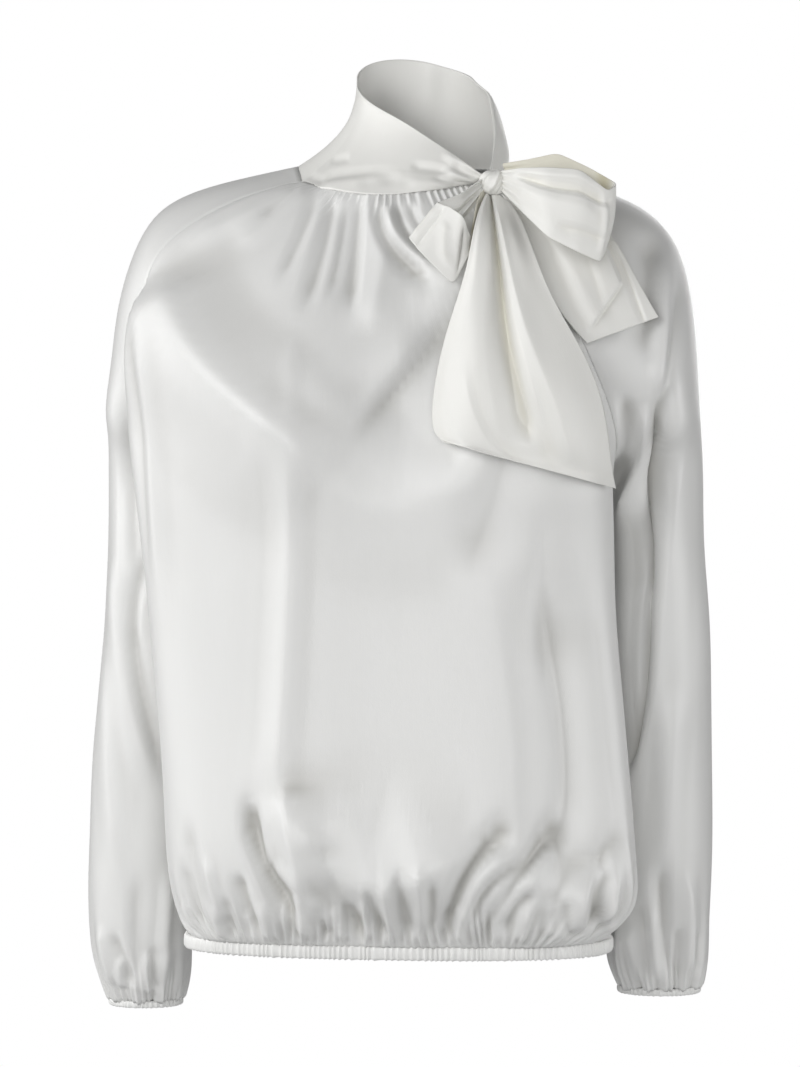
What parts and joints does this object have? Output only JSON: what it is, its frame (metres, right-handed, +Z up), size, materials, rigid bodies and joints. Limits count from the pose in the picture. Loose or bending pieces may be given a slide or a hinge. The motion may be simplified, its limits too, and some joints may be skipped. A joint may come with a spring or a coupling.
{
  "type": "blouse",
  "caption": "Long-sleeved satin blouse, filled out as worn: raglan sleeves, gathered hem and cuffs, and a high scarf collar tied in a bow at the side of the neck.",
  "frame": {"origin": "middle of the neck, level with the shoulders, where the wearer's neck and shoulders hold the blouse", "axes": "+Z up along the wearer, -Y out of the front, +X to the wearer's left"},
  "size_m": [0.5218, 0.2472, 0.7918],
  "materials": {
    "satin": "ivory satin, soft sheen",
    "satin_casing": "ivory satin, ruched over elastic",
    "satin_tie": "ivory satin, folded double"
  },
  "bodies": {
    "root": {"front": "satin", "back": "satin", "sleeve_right": "satin", "sleeve_left": "satin", "hem_casing": "satin_casing", "cuff_casing_right": "satin_casing", "cuff_casing_left": "satin_casing", "collar": "satin_tie", "bow_knot": "satin_tie", "bow_loop_left": "satin_tie", "bow_loop_right": "satin_tie", "tie_end_front": "satin_tie", "tie_end_back": "satin_tie"}
  },
  "joints": []
}
